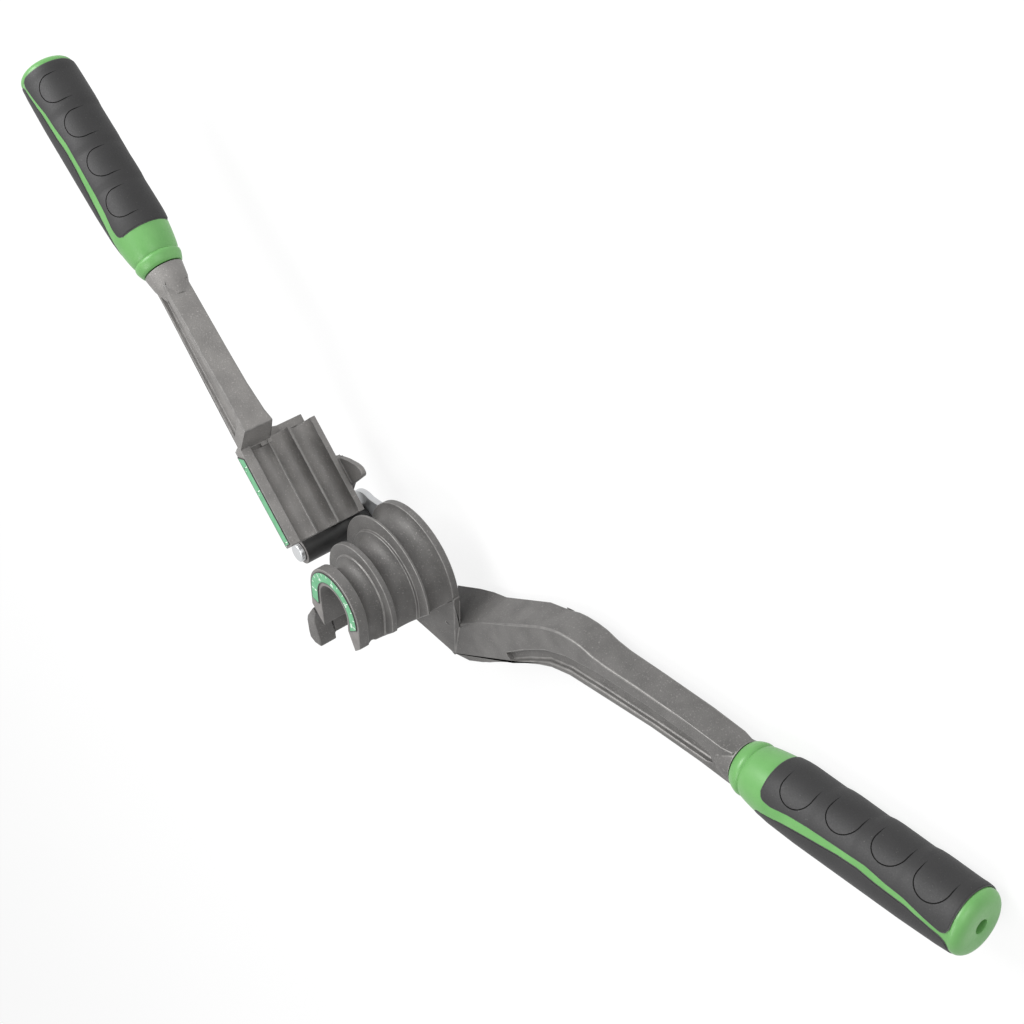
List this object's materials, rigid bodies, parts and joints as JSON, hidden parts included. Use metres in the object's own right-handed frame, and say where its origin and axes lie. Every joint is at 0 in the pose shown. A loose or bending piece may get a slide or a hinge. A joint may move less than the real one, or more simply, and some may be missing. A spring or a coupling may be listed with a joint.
{
  "type": "tube bender",
  "caption": "Hand lever tube bender: stepped grooved former with a scale, grooved shoe on a swinging link, tube latch and two handles with rubber grips.",
  "frame": {"origin": "on the axis of the bending former, which is the pivot rivet's axis, at the back face of the former's large flange; the tool lies on its back", "axes": "+Z along the pivot axis towards the face with the angle scale, +X towards the end of the former's handle, +Y towards the crown of the former and the shoe's handle"},
  "size_m": [0.3436, 0.2455, 0.0567],
  "materials": {
    "cast_metal": "matte, fine cast grain with worn edges",
    "bright_steel": "satin",
    "black_steel": "black, half gloss",
    "label_green": "printed, half gloss",
    "grip_green": "half gloss",
    "grip_rubber": "matte, fine grain"
  },
  "bodies": {
    "former": {"former_casting": "cast_metal", "angle_label": "label_green", "pivot_rivet": "bright_steel", "pivot_spacer": "bright_steel", "pivot_washer": "bright_steel", "latch_pin": "bright_steel", "latch_spacer": "bright_steel", "former_grip_collar": "grip_green", "former_grip_core": "grip_green", "former_grip_top": "grip_rubber", "former_grip_bottom": "grip_rubber", "former_grip_pads": "grip_rubber", "former_grip_cap": "grip_green"},
    "link": {"link_plate": "bright_steel", "hinge_pin": "bright_steel", "hinge_clip": "black_steel"},
    "shoe": {"shoe_casting": "cast_metal", "shoe_label": "label_green", "hinge_sleeve": "black_steel", "shoe_grip_collar": "grip_green", "shoe_grip_core": "grip_green", "shoe_grip_top": "grip_rubber", "shoe_grip_bottom": "grip_rubber", "shoe_grip_pads": "grip_rubber", "shoe_grip_cap": "grip_green"},
    "latch": {"latch_hook": "cast_metal"}
  },
  "joints": [
    {"name": "link_swing", "type": "hinge", "parent": "former", "child": "link", "pos_m": [0, 0, 0], "axis": [0, 0, 1], "range_deg": [-145, 6.4]},
    {"name": "shoe_swing", "type": "hinge", "parent": "link", "child": "shoe", "pos_m": [-0.03476, 0.00815, 0], "axis": [0, 0, 1], "range_deg": [-56.1, 35]},
    {"name": "latch_swing", "type": "hinge", "parent": "former", "child": "latch", "pos_m": [-0.0065, -0.0225, 0], "axis": [0, 0, 1], "range_deg": [0, 45]}
  ]
}
